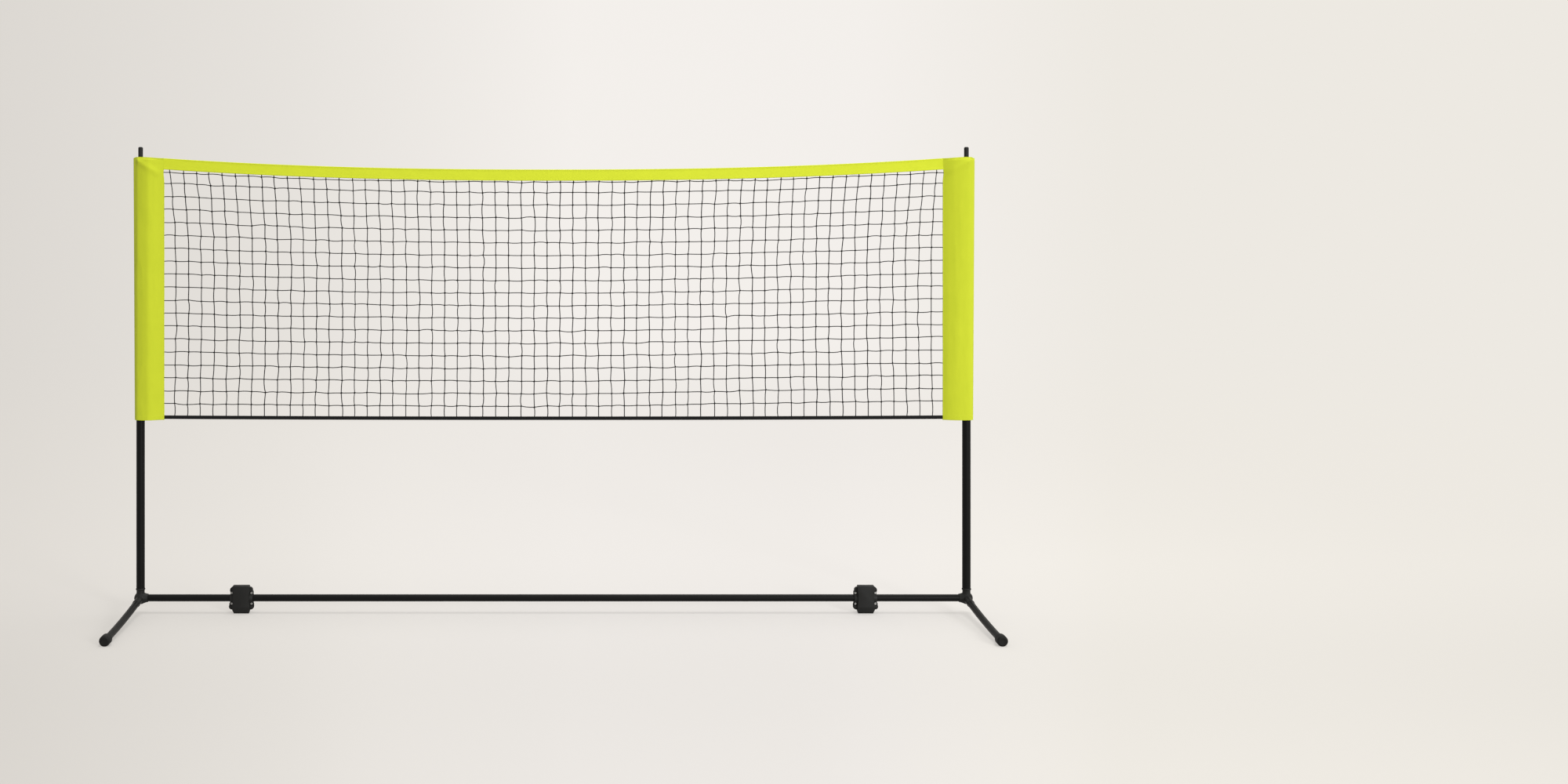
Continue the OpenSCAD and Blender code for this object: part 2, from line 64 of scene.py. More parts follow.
bpy.ops.object.camera_add(
    location=(0, net_y - camera_back, camera_height), rotation=(math.radians(90), 0, 0)
)
camera = bpy.context.object
camera.data.sensor_width = 36
camera.data.lens = 36 * focal_px / picture_px
camera.data.shift_x = 0.147
camera.data.shift_y = -0.105
camera.data.clip_end = 500
bpy.context.scene.camera = camera
bpy.context.scene.view_settings.view_transform = "Standard"

# ---- Studio ----------------------------------------------------------------------------------
# A pale warm sweep of floor that runs into a background of the same tone, with painted shade that
# darkens both to the sides, most to the left. A soft lamp overhead leaves a shadow right under each
# tube, one far off at the front right shapes the cloth, and the fill from all round is weaker on
# the left and stronger behind.

# Painted shade: the sweep's tone is palest in the middle and darker to the sides, most to the left.
painted_shade_tone_left = (0.705, 0.675, 0.635)
tone_middle = (0.90, 0.868, 0.835)
painted_shade_tone_right = (0.847, 0.815, 0.761)


class Wire:
    """A socket of a node tree. Arithmetic on it adds Math nodes, and node() adds any other."""

    def __init__(self, tree, socket=None):
        self.tree, self.socket = tree, socket

    def node(self, kind, sockets, out=0, stops=None, **settings):
        made = self.tree.nodes.new("ShaderNode" + kind)
        for name, value in settings.items():
            setattr(made, name, value)
        if stops:
            ramp = made.color_ramp.elements
            while len(ramp) < len(stops):
                ramp.new(0.5)
            for stop, (place, tone) in zip(ramp, stops):
                stop.position, stop.color = place, (*tone, 1)
        for name, value in sockets.items():
            if isinstance(value, Wire):
                self.tree.links.new(value.socket, made.inputs[name])
            else:
                made.inputs[name].default_value = value
        return Wire(self.tree, made.outputs[out])

    def math(self, operation, *values):
        return self.node("Math", dict(enumerate(values)), operation=operation)

    def __add__(self, other):
        return self.math("ADD", self, other)

    def __radd__(self, other):
        return self.math("ADD", other, self)

    def __sub__(self, other):
        return self.math("SUBTRACT", self, other)

    def __rsub__(self, other):
        return self.math("SUBTRACT", other, self)

    def __mul__(self, other):
        return self.math("MULTIPLY", self, other)

    def __rmul__(self, other):
        return self.math("MULTIPLY", other, self)

    def noise(self, place, scale, detail):
        return self.node("TexNoise", {"Vector": place, "Scale": scale, "Detail": detail})

    def mix(self, share, tone_a, tone_b):
        """One tone where share is 0, the other where it is 1."""
        tones = [(*t, 1) if isinstance(t, tuple) else t for t in (tone_a, tone_b)]
        return self.node(
            "Mix", {0: share, 6: tones[0], 7: tones[1]}, out=2, data_type="RGBA", clamp_factor=True
        )

    def soft_rise(self, value, low, high):
        """0 where the value is low, 1 where it is high, with a soft change between."""
        return self.node(
            "MapRange", {"Value": value, "From Min": low, "From Max": high},
            interpolation_type="SMOOTHSTEP",
        )


def new_finish(name, **fixed):
    """A material whose evenly set sockets are filled in, and a wire to build its pattern with."""
    material = bpy.data.materials.new(name)
    material.use_nodes = True
    surface = material.node_tree.nodes["Principled BSDF"]
    for socket, value in fixed.items():
        surface.inputs[socket.replace("_", " ")].default_value = value
    return material, Wire(material.node_tree)


def lay_on(wire, **patterns):
    """Feeds what varies over the surface into the shader."""
    surface = wire.tree.nodes["Principled BSDF"]
    for socket, value in patterns.items():
        wire.tree.links.new(value.socket, surface.inputs[socket.replace("_", " ")])


def painted_falloff_tone(wire, across):
    """The sweep's tone, from the share of sideways in a direction away from the viewpoint. Painted
    shade makes it darker to the sides, most to the left.
    """
    place = across * 0.8 + 0.4
    return wire.node(
        "ValToRGB", {"Fac": place},
        stops=[
            (0.10, painted_shade_tone_left), (0.26, (0.79, 0.76, 0.72)), (0.41, tone_middle),
            (0.56, tone_middle), (0.68, painted_shade_tone_right),
        ],
    )


def seen_share(wire):
    """1 for what is seen directly, mirrored or through a gap, 0 for light thrown on the pieces."""
    direct = wire.node("LightPath", {}, out="Is Camera Ray")
    kinds = direct.socket.node.outputs
    mirrored, through = (
        Wire(wire.tree, kinds[ray]) for ray in ("Is Glossy Ray", "Is Transmission Ray")
    )
    return wire.math("MAXIMUM", wire.math("MAXIMUM", direct, mirrored), through)


floor_share = 0.40  # of the floor's tone that comes from the lamps, and so can be shaded
floor_light = 1.22  # how strongly the lamps light that share
middle_heading = 0.09  # sideways share of the direction in which the sweep is palest


def sweep_material():
    material, wire = new_finish(
        "studio_sweep", Roughness=0.9, Specular_IOR_Level=0.0, Emission_Strength=1.0
    )
    place = wire.node("TexCoord", {}, out="Object")
    from_view = wire.node(
        "VectorMath", {0: place, 1: (0, camera_back - net_y, 0)}, operation="ADD"
    )
    heading = wire.node("VectorMath", {0: from_view}, operation="NORMALIZE")
    # The tones fade into the middle one right under the viewpoint, where all headings meet
    away = wire.node("VectorMath", {0: from_view}, out="Value", operation="LENGTH")
    spread = wire.soft_rise(away, 0.3, 3.7)
    sideways = wire.node("SeparateXYZ", {"Vector": heading}, out="X")
    across = (sideways - middle_heading) * spread + middle_heading
    tone = painted_falloff_tone(wire, across)
    aside = wire.soft_rise(wire.math("ABSOLUTE", across - middle_heading), 0.06, 0.24)
    # Far off the floor only glows, so that it meets the background without an edge
    reach = wire.node("VectorMath", {0: place}, out="Value", operation="LENGTH")
    far = wire.soft_rise(reach, 4.0, 14.0)
    black = (0.0, 0.0, 0.0)
    lit = wire.mix(far * floor_share + (1 - floor_share), tone, black)
    # Near the net the glow makes room for the lamps' light, with small corrections for its falloff
    depth = wire.node("SeparateXYZ", {"Vector": place}, out="Y")
    near = wire.soft_rise(depth, 1.2, -1.0)
    lamp_part = floor_share * floor_light
    glow_share = far * lamp_part + (1 - lamp_part)
    glow_share = glow_share + (1 - far) * (aside * 0.07 - near * 0.083 - 0.018)
    glow_share = glow_share * seen_share(wire)
    lay_on(wire, Base_Color=lit, Emission_Color=wire.mix(glow_share, black, tone))
    return material


bpy.ops.mesh.primitive_circle_add(vertices=128, radius=180, fill_type="NGON")
sweep = bpy.context.object
sweep.name = "studio_sweep"
sweep.data.materials.append(sweep_material())

ambient = 0.64
fill_tone = (1.0, 0.99, 0.97)
world = bpy.data.worlds.new("studio")
bpy.context.scene.world = world
world.use_nodes = True
sky = Wire(world.node_tree)
outward = sky.node("TexCoord", {}, out="Generated")
level_heading = sky.node("VectorMath", {0: outward, 1: (1, 1, 0)}, operation="MULTIPLY")
heading = sky.node("VectorMath", {0: level_heading}, operation="NORMALIZE")
# The backdrop carries the same painted shade, darker to the sides.
backdrop_tone = painted_falloff_tone(sky, sky.node("SeparateXYZ", {"Vector": heading}, out="X"))
from_right = sky.node("SeparateXYZ", {"Vector": outward}, out="X")
from_behind = sky.math("MAXIMUM", sky.node("SeparateXYZ", {"Vector": outward}, out="Y"), 0.0)
fill_strength = (1 + from_right * 0.2 + from_behind * 0.6) * ambient
soft_fill = sky.node("Background", {"Color": (*fill_tone, 1), "Strength": fill_strength})
backdrop = sky.node("Background", {"Color": backdrop_tone, "Strength": 1.0})
whole_sky = sky.node("MixShader", {0: seen_share(sky), 1: soft_fill, 2: backdrop})
sky.tree.links.new(whole_sky.socket, sky.tree.nodes["World Output"].inputs["Surface"])

bpy.ops.object.light_add(type="SUN")
overhead = bpy.context.object
overhead.name = "overhead_lamp"
overhead.data.energy = 1.2
overhead.data.angle = math.radians(24)
overhead.rotation_euler = Vector((0.14, 0.02, 1)).to_track_quat("Z", "Y").to_euler()

key_place = Vector((5.5, -8.2, 2.9))
key_aim = Vector((-1.8, net_y, 1.1))
bpy.ops.object.light_add(type="SPOT", location=key_place)
key = bpy.context.object
key.name = "front_right_lamp"
key.data.energy = 2390
key.data.spot_size = math.radians(70)
key.data.spot_blend = 1.0
key.data.shadow_soft_size = 1.2
key.rotation_euler = (key_place - key_aim).to_track_quat("Z", "Y").to_euler()

# ---- Base tube -------------------------------------------------------------------------------
# Round steel tube in three sections, the middle one drawn in at its ends to slip into the outer
# two. Black powder coat, whose fine orange peel breaks up the highlight.


def powder_coat(name, tone, paler):
    material, wire = new_finish(name, Specular_IOR_Level=0.1)
    place = wire.node("TexCoord", {}, out="Object")
    peel = wire.noise(place, 620, 3)
    cloud = wire.noise(place, 9, 4)
    rubbed = wire.node(
        "MapRange", {"Value": wire.noise(place, 70, 8), "From Min": 0.62, "From Max": 0.72}
    )
    share = cloud * 0.55 + peel * 0.25 + rubbed * 0.2
    lay_on(
        wire,
        Base_Color=wire.mix(share, tone, paler),
        Roughness=0.36 + cloud * 0.12 + rubbed * 0.12,
        Normal=wire.node("Bump", {"Strength": 0.22, "Distance": 0.0004, "Height": peel}),
    )
    return material


def coat(nodes, material):
    """Gives nodes of the frame their finish."""
    for node in nodes:
        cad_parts[node].data.materials.clear()
        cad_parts[node].data.materials.append(material)


def both(name):
    return [name + "_left", name + "_right"]


black_coat = powder_coat("black_powder_coat", (0.0035, 0.0036, 0.0036), (0.0075, 0.0076, 0.0074))
coat(["base_tube_left", "base_tube_middle", "base_tube_right"], black_coat)

# ---- Corner connectors -----------------------------------------------------------------------
# Moulded in glass-filled nylon: a round hub with a beaded neck up to the pole, a flared collar on
# the base tube and a beaded neck to the leg. The mould leaves soft fillets where the arms meet.


def pick(*pieces):
    """Selects these pieces alone. The last one is the active one."""
    bpy.ops.object.select_all(action="DESELECT")
    for piece in pieces:
        piece.select_set(True)
    bpy.context.view_layer.objects.active = pieces[-1]


def finish_with(piece, kind, **settings):
    """Adds a modifier and applies it."""
    pick(piece)
    bpy.ops.object.modifier_add(type=kind)
    modifier = piece.modifiers[-1]
    for name, value in settings.items():
        setattr(modifier, name, value)
    bpy.ops.object.modifier_apply(modifier=modifier.name)


def taken_from(node, name):
    """A new piece with a merged copy of a frame node's mesh."""
    piece = bpy.data.objects.new(name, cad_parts[node].data.copy())
    bpy.context.scene.collection.objects.link(piece)
    pick(piece)
    bpy.ops.mesh.customdata_custom_splitnormals_clear()
    bpy.ops.object.mode_set(mode="EDIT")
    bpy.ops.mesh.select_all(action="SELECT")
    bpy.ops.mesh.remove_doubles(threshold=1e-6)
    bpy.ops.object.mode_set(mode="OBJECT")
    piece.data.materials.clear()
    return piece


def moulding(name, tone, paler, roughness):
    material, wire = new_finish(name, Specular_IOR_Level=0.2)
    place = wire.node("TexCoord", {}, out="Object")
    grain = wire.node("TexVoronoi", {"Vector": place, "Scale": 1100}, out="Distance")
    flow = wire.noise(place, 26, 5)
    lay_on(
        wire,
        Base_Color=wire.mix(flow * 0.7 + grain * 0.3, tone, paler),
        Roughness=roughness + flow * 0.14,
        Normal=wire.node("Bump", {"Strength": 0.3, "Distance": 0.0003, "Height": grain}),
    )
    return material


black_nylon = moulding(
    "grained_black_nylon", (0.0075, 0.0077, 0.0072), (0.0155, 0.0158, 0.015), 0.46
)

for node in both("corner"):
    corner = taken_from(node, node.replace("corner", "corner_connector"))
    finish_with(corner, "REMESH", mode="VOXEL", voxel_size=0.0008, use_smooth_shade=True)
    finish_with(corner, "SMOOTH", factor=0.5, iterations=3)
    corner.data.materials.append(black_nylon)
    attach(corner, "stand")
    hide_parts(node)

# ---- Legs ------------------------------------------------------------------------------------
# Round steel tube with one gentle bend, in a slightly greyer coat than the poles.

leg_coat = powder_coat("grey_black_powder_coat", (0.0042, 0.0043, 0.0040), (0.0113, 0.0115, 0.0108))
coat(both("leg"), leg_coat)

# ---- Foot caps -------------------------------------------------------------------------------
# Soft rubber caps pushed over the legs' ends, with a round shoulder, a shallow dish in the closed
# end and a flat worn where they stand.


def softened(node, name, width):
    """A copy of a frame node whose sharp edges are rounded, in its place."""
    piece = taken_from(node, name)
    finish_with(piece, "DECIMATE", decimate_type="DISSOLVE", angle_limit=math.radians(0.6))
    finish_with(
        piece, "BEVEL", width=width, segments=2, limit_method="ANGLE",
        angle_limit=math.radians(32), use_clamp_overlap=True, miter_outer="MITER_ARC",
    )
    pick(piece)
    bpy.ops.object.shade_smooth_by_angle(angle=math.radians(38))
    return piece


cap_rubber = moulding("black_cap_rubber", (0.005, 0.0051, 0.0048), (0.010, 0.0102, 0.0096), 0.6)

for node in both("foot_cap"):
    cap = softened(node, node + "_rubber", 0.0008)
    cap.data.materials.append(cap_rubber)
    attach(cap, "stand")
    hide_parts(node)

# ---- Clamp feet ------------------------------------------------------------------------------
# Two moulded halves bolted round the base tube: a front pad whose lower edge is turned under, and
# a rear half with a heel. The edges are eased, as the mould leaves them.

for node in both("clamp_front") + both("clamp_rear"):
    half = softened(node, node + "_half", 0.0011)
    half.data.materials.append(black_nylon)
    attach(half, "stand")
    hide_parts(node)

# ---- Clamp bolts and nuts --------------------------------------------------------------------
# Zinc-plated M5 bolts in the front halves' recesses, with a hexagon socket in each head, and plain
# nuts on the rear halves. The corners of the heads are slightly rounded.


def zinc_plate():
    material, wire = new_finish("zinc_plated_steel", Metallic=1.0)
    place = wire.node("TexCoord", {}, out="Object")
    spangle = wire.noise(place, 240, 3)
    brushed = wire.noise(place, 1500, 2)
    lay_on(
        wire,
        Base_Color=wire.mix(spangle, (0.22, 0.22, 0.215), (0.42, 0.42, 0.41)),
        Roughness=0.34 + spangle * 0.2,
        Normal=wire.node("Bump", {"Strength": 0.15, "Distance": 0.0002, "Height": brushed}),
    )
    return material


zinc = zinc_plate()
for node in both("clamp_bolts") + both("clamp_nuts"):
    fasteners = softened(node, node.replace("clamp", "zinc"), 0.0005)
    fasteners.data.materials.append(zinc)
    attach(fasteners, "stand")
    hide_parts(node)

# ---- Poles -----------------------------------------------------------------------------------
# Lower poles of 30 mm tube plugged on the connectors' necks, and 22 mm upper poles that slide in
# them. Both have the base tube's coat.

coat(both("lower_pole") + both("upper_pole"), black_coat)

# ---- Pole guides and twist locks -------------------------------------------------------------
# Acetal parts inside the poles: a guide bush in each lower pole's mouth, and a slit expander with
# the cone that spreads it. Bare plastic with a dull sheen.

inner_plastic = moulding("acetal", (0.022, 0.0223, 0.023), (0.036, 0.0363, 0.037), 0.38)
coat(both("pole_guide") + both("lock_cone") + both("lock_expander"), inner_plastic)

# ---- Pole tips -------------------------------------------------------------------------------
# Moulded plugs with a bevelled tip that stands out of the sleeve's eyelet.

for node in both("pole_tip"):
    tip = softened(node, node + "_plug", 0.0006)
    tip.data.materials.append(black_nylon)
    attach(tip, node.replace("pole_tip", "pole_set"))
    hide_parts(node)

# ---- Pole sleeves ----------------------------------------------------------------------------
# Woven polyester folded round the pole and sewn to a flat band inwards. The cloth lies flat in
# front of the pole, turns sharply at a crease beside it, and its closed top hangs on the pole's
# shoulder, with a sewn eyelet for the tip.

pole_axis_x = 1.5
net_half_w = 1.414
sleeve_low = 0.701
sleeve_high = 1.655
sleeve_h = sleeve_high - sleeve_low
cloth_wall = 0.0012
sleeve_columns = 28
sleeve_levels = [rise / sleeve_h for rise in (
    0, 0.003, 0.009, 0.0125, 0.015, 0.019, 0.026, *(0.034 + 0.00972 * k for k in range(93)),
    0.936, 0.942, 0.946, 0.949, 0.9515, 0.9530, sleeve_h,
)]
binding_steps = 240
piping_r = 0.0018
eyelet_r = 0.0093
eyelet_rim_r = 0.0099


def soft_line(corners, count):
    """Evenly spaced points on a soft line through the corners."""
    ends = [2 * corners[0] - corners[1], *corners, 2 * corners[-1] - corners[-2]]
    fine = []
    for a, b, c, d in zip(ends, ends[1:], ends[2:], ends[3:]):
        for step in range(12):
            t = step / 12
            bend = t * (2 * a - 5 * b + 4 * c - d) + t * t * (3 * b - a - 3 * c + d)
            fine.append(b + t / 2 * (c - a + bend))
    fine.append(corners[-1])
    run = [0]
    for a, b in zip(fine, fine[1:]):
        run.append(run[-1] + (b - a).length)
    line, k = [], 0
    for i in range(count):
        goal = run[-1] * i / (count - 1)
        while k < len(run) - 2 and run[k + 1] < goal:
            k += 1
        line.append(fine[k].lerp(fine[k + 1], (goal - run[k]) / (run[k + 1] - run[k])))
    return line


def ease(value, low, high):
    share = min(max((value - low) / (high - low), 0), 1)
    return share * share * (3 - 2 * share)


def hump(value, middle, width):
    return math.exp(-(((value - middle) / width) ** 2))


def band_edge(side, z):
    """Place of the band's inner edge, outward from the pole's axis."""
    drawn_in = 0.003 * hump(z, 1.598, 0.022)
    return -0.0852 + drawn_in + 0.0008 * noise.noise((side * 3.1, 0, z * 9))


def sleeve_section(side, z):
    """Half of the loop of cloth at a height: places outward from the axis, and before it."""
    rise = (z - sleeve_low) / sleeve_h
    crease = 0.0006 * noise.noise((side * 5.7, 1, z * 7))
    if side > 0:
        reach = 0.0245 + 0.0055 * rise
        flat = 1 - 0.5 * ease(rise, 0.15, 0.85)  # the lower half lies flatter on the pole
        corners = [
            (-0.072, 0.0053 + 0.0024 * flat), (-0.060, 0.0096 + 0.0022 * flat),
            (-0.045, 0.0142 + 0.0012 * flat), (-0.030, 0.0175 - 0.0004 * flat),
            (-0.018, 0.0189 - 0.0015 * flat), (-0.008, 0.0188 - 0.0017 * flat),
            (0.0, 0.0178 - 0.0011 * flat), (0.0055, 0.0163 - 0.0005 * flat),
            (0.0108 + crease, 0.0137), (reach - 0.0066, 0.0092), (reach - 0.0018, 0.0035),
        ]
    else:
        reach = 0.0212 + 0.0048 * rise
        corners = [
            (-0.072, 0.0058), (-0.060, 0.0109), (-0.048, 0.0164), (-0.039, 0.0203),
            (-0.032, 0.0219), (-0.024, 0.0216), (-0.012, 0.0198), (0.0, 0.0168),
            (0.0055, 0.0153), (0.0108 + crease, 0.0124), (0.0166, 0.0072),
            (reach - 0.0018, 0.0026),
        ]
    corners = [(band_edge(side, z), 0.0008), *corners, (reach, 0.0)]
    return soft_line([Vector(corner) for corner in corners], sleeve_columns)


def sleeve_fold(side, face, u, z):
    """How far a fold stands out. None goes inward, because the pole fills the pocket."""
    slack = ease(u, -0.080, -0.045) * (1 - ease(u, 0.008, 0.019))
    seed = 11 * side + 5 * face
    long_fold = max(0, noise.noise((u * 24 + seed, z * 3.4, seed))) ** 1.2
    ripple = max(0, noise.noise((u * 60 - seed, z * 16, 3 + seed)))
    pull = ease(z, 1.50, 1.63)
    # One fold of tension runs from the pole's shoulder down and inwards
    down = (u - 0.012) * 0.60
    tension = hump(z - 1.643, down, 0.010) * ease(z, 1.55, 1.60)
    tension *= ease(u, -0.078, -0.050) * (1 - ease(u, 0.004, 0.016))
    return slack * (0.0032 * long_fold + 0.0009 * ripple * (1 - pull)) + 0.0050 * tension


def sleeve_top(u):
    """Height of the cloth's top edge, which runs on into the top tape's and is round outside."""
    return sleeve_high - 0.0017 - 0.0040 * ease(u, -0.004, -0.085) - 0.0036 * ease(u, 0.014, 0.028)


def sleeve_layer(side, face):
    """Rows of places on the front (-1) or back (1) layer, from the bottom edge to the eyelet."""
    rows = []
    for level in sleeve_levels:
        row = []
        for u, h in sleeve_section(side, sleeve_low + level * sleeve_h):
            z = sleeve_low + level * (sleeve_top(u) - sleeve_low)
            shoulder = 1 - 0.27 * max(0, (z - (sleeve_top(u) - 0.010)) / 0.010) ** 2
            hem = 0.0005 * (1 - ease(z, sleeve_low + 0.012, sleeve_low + 0.0145))
            fold = (sleeve_fold(side, face, u, z) + hem) * ease(h, 0, 0.002)
            row.append((u, h * shoulder + fold, z))
        rows.append(row)
    # Over the top: half way to the middle, then the eyelet and the line where both layers meet
    first, last = [
        next(i for i, place in enumerate(rows[-1]) if place[0] > edge) for edge in (-0.024, 0.018)
    ]
    rim = []
    for i, (u, h, z) in enumerate(rows[-1]):
        turn = math.pi * (1 - min(max((i - first) / (last - first), 0), 1))
        v, w = eyelet_r * math.cos(turn), eyelet_r * math.sin(turn)
        if i < first:
            v = min(u, -eyelet_r - 0.003 * (first - i))
        elif i > last:
            v += (u - v) * (i - last) / (len(rows[-1]) - 1 - last)
        rim.append((v, w if first < i < last else 0, sleeve_top(v) + 0.0002))
    half_way = [tuple((a + b) / 2 for a, b in zip(top, end)) for top, end in zip(rows[-1], rim)]
    return [
        [Vector((side * (pole_axis_x + u), net_y + face * h, z)) for u, h, z in row]
        for row in [*rows, half_way, rim]
    ]


def cloth_from(name, layers, capped=False):
    """A sheet through grids of places, with its UV map in metres along and up the cloth."""
    piece = bpy.data.objects.new(name, bpy.data.meshes.new(name))
    bpy.context.scene.collection.objects.link(piece)
    shape = bmesh.new()
    along = shape.loops.layers.uv.new("cloth")
    for layer, flipped in layers:
        middle_row = layer[len(layer) // 2]
        middle_column = [row[len(row) // 2] for row in layer]
        runs = []
        for line in (middle_row, middle_column):
            run = [0]
            for a, b in zip(line, line[1:]):
                run.append(run[-1] + (b - a).length)
            runs.append(run)
        corners = [[shape.verts.new(place) for place in row] for row in layer]
        for j in range(len(layer) - 1):
            for i in range(len(middle_row) - 1):
                around = [(j, i), (j, i + 1), (j + 1, i + 1), (j + 1, i)]
                if flipped:
                    around.reverse()
                face = shape.faces.new([corners[b][a] for b, a in around])
                face.smooth = True
                for loop, (b, a) in zip(face.loops, around):
                    loop[along].uv = (runs[0][a], runs[1][b])
    bmesh.ops.remove_doubles(shape, verts=shape.verts, dist=1e-5)
    if capped:
        bmesh.ops.holes_fill(shape, edges=shape.edges)
    shape.to_mesh(piece.data)
    shape.free()
    return piece


def woven(name, tone, deeper, thread):
    material, wire = new_finish(
        name, Specular_IOR_Level=0.18, Sheen_Weight=0.12, Sheen_Roughness=0.5
    )
    map_place = wire.node("UVMap", {}, uv_map="cloth")
    place = wire.node("TexCoord", {}, out="Object")
    ribs = [
        wire.node(
            "TexWave", {"Vector": map_place, "Scale": thread, "Distortion": 0.8, "Detail": 1.0},
            out="Fac", bands_direction=way,
        )
        for way in "XY"
    ]
    weave = ribs[0] * ribs[1]
    slub = wire.noise(map_place, 900, 2)
    cloud = wire.noise(place, 14, 5)
    lay_on(
        wire,
        Base_Color=wire.mix(cloud * 0.55 + weave * 0.25 + slub * 0.2, deeper, tone),
        Roughness=0.72 + slub * 0.14,
        Normal=wire.node(
            "Bump", {"Strength": 0.35, "Distance": 0.0003, "Height": weave + slub * 0.4}
        ),
    )
    return material


def stitched(name, seams, pitch, thread, body):
    """Short stitches along seams. A seam is a line of (place, outward) pairs."""
    piece = bpy.data.objects.new(name, bpy.data.meshes.new(name))
    bpy.context.scene.collection.objects.link(piece)
    shape = bmesh.new()
    for seam in seams:
        gone, goal = 0.0, pitch / 2
        for (a, out_a), (b, out_b) in zip(seam, seam[1:]):
            length = (b - a).length
            while goal <= gone + length:
                share = (goal - gone) / length
                middle, out = a.lerp(b, share), out_a.lerp(out_b, share).normalized()
                ahead = (b - a).normalized() * pitch * 0.36
                aside = ahead.cross(out).normalized() * 0.0004
                tips = [shape.verts.new(middle + way) for way in (ahead, aside, -ahead, -aside)]
                crown, sole = (shape.verts.new(middle + out * h) for h in (0.0004, -0.0003))
                for one, two in zip(tips, tips[1:] + tips[:1]):
                    shape.faces.new((one, two, crown))
                    shape.faces.new((two, one, sole))
                goal += pitch
            gone += length
    shape.to_mesh(piece.data)
    shape.free()
    pick(piece)
    bpy.ops.object.mode_set(mode="EDIT")
    bpy.ops.mesh.select_all(action="SELECT")
    bpy.ops.mesh.normals_make_consistent(inside=False)
    bpy.ops.object.mode_set(mode="OBJECT")
    piece.data.materials.append(thread)
    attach(piece, body)
    return piece


def rope(name, lines, radius, roundness, closed=False):
    """Round cord along lines of places, as a mesh. With more roundness it has more faces round."""
    line_work = bpy.data.curves.new(name, "CURVE")
    line_work.dimensions = "3D"
    line_work.bevel_depth = radius
    line_work.bevel_resolution = roundness
    line_work.use_fill_caps = True
    for line in lines:
        spline = line_work.splines.new("POLY")
        spline.points.add(len(line) - 1)
        spline.use_cyclic_u = closed
        for point, place in zip(spline.points, line):
            point.co = (*place, 1)
    piece = bpy.data.objects.new(name, line_work)
    bpy.context.scene.collection.objects.link(piece)
    pick(piece)
    bpy.ops.object.convert(target="MESH")
    piece = bpy.context.object
    pick(piece)
    bpy.ops.object.shade_smooth()
    return piece


def spun(name, tone, paler):
    material, wire = new_finish(name, Specular_IOR_Level=0.3)
    place = wire.node("TexCoord", {}, out="Object")
    fibre = wire.noise(place, 1800, 3)
    patch = wire.noise(place, 40, 3)
    lay_on(
        wire,
        Base_Color=wire.mix(fibre * 0.5 + patch * 0.5, tone, paler),
        Roughness=0.6 + fibre * 0.2,
        Normal=wire.node("Bump", {"Strength": 0.5, "Distance": 0.0003, "Height": fibre}),
    )
    return material


# The sleeves' polyester. The tape's copy of it is paler, which is painted light.
lime_cloth = woven("lime_polyester", (0.68, 0.755, 0.035), (0.57, 0.655, 0.026), 300)
lime_thread = spun("lime_thread", (0.42, 0.50, 0.015), (0.62, 0.70, 0.03))

for side, name in ((-1, "left"), (1, "right")):
    front, back = (sleeve_layer(side, face) for face in (-1, 1))
    sleeve = cloth_from("sleeve_cloth_" + name, [(front, side < 0), (back, side > 0)])
    finish_with(sleeve, "SUBSURF", levels=1, render_levels=1)
    finish_with(sleeve, "SOLIDIFY", thickness=cloth_wall, offset=0, use_even_offset=True)
    sleeve.data.materials.append(lime_cloth)
    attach(sleeve, "net_set")
    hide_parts("sleeve_" + name)

    # The binding on the band's inner edge, with a rolled edge towards the net
    half = [
        (-0.0012, 0.0), (-0.0008, 0.0014), (0.0004, 0.0020), (0.0018, 0.0019), (0.0029, 0.0014),
        (0.0038, 0.0013), (0.0052, 0.0017), (0.0068, 0.0017), (0.0079, 0.0011), (0.0081, 0.0),
    ]
    outline = half + [(u, -h) for u, h in half[-2:0:-1]] + half[:1]
    rings = []
    for j in range(binding_steps + 1):
        z = sleeve_low - 0.0004 + j / binding_steps * (sleeve_top(-0.085) - sleeve_low)
        plump = 1.12 + 0.10 * noise.noise((side, 2, z * 130)) - 0.25 * ease(z, 1.628, 1.646)
        edge = band_edge(side, z)
        rings.append([
            Vector((side * (pole_axis_x + edge + u), net_y - h * plump, z)) for u, h in outline
        ])
    binding = cloth_from("sleeve_binding_" + name, [(rings, side < 0)], capped=True)
    binding.data.materials.append(lime_cloth)
    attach(binding, "net_set")

    # Piping round the closed top, then the sewn rim of the eyelet
    top_front, top_back = front[-3], back[-3]
    around_top = []
    for place in top_front + top_back[-2::-1]:
        tucked_in = 0.0019 * ease(side * place.x - pole_axis_x, 0.008, 0.026)
        lift = 0.0006 if place.y > net_y else -0.0006
        around_top.append(place + Vector((-side * tucked_in, lift, 0.0002)))
    piping = rope("sleeve_piping_" + name, [around_top], piping_r, 3)
    eyelet = rope(
        "sleeve_eyelet_" + name,
        [[
            Vector((
                side * pole_axis_x + eyelet_rim_r * math.cos(turn / 24 * math.pi),
                net_y + eyelet_rim_r * math.sin(turn / 24 * math.pi), sleeve_high - 0.0010,
            ))
            for turn in range(48)
        ]],
        0.0009, 2, closed=True,
    )
    for trim in (piping, eyelet):
        trim.data.materials.append(lime_cloth)
        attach(trim, "net_set")

    seams = []
    for layer, face in ((front, -1), (back, 1)):
        out = Vector((0, face, 0))
        line = []
        for k in range(104):
            z = sleeve_low + 0.006 + k * 0.009
            x = side * (pole_axis_x + band_edge(side, z) + 0.0034)
            line.append((Vector((x, net_y + face * 0.0014, z)), out))
        seams.append(line)
        for level in (3, -9):  # the rows of the grid over the hem and under the closed top
            line = []
            row = layer[level]
            for before, place, after in zip(row, row[1:], row[2:]):
                away = (after - before).cross(Vector((0, 0, 1))).normalized() * -face * side
                if away.y * face < 0:
                    away.negate()
                line.append((place + away * (cloth_wall / 2), away))
            seams.append(line)
    seam_work = stitched("sleeve_stitches_" + name, seams, 0.0034, lime_thread, "net_set")

# ---- Top tape --------------------------------------------------------------------------------
# A strip of the same polyester folded over the net's upper edge, corded along its fold and hemmed
# below. Its ends are sewn into the sleeves' bindings.

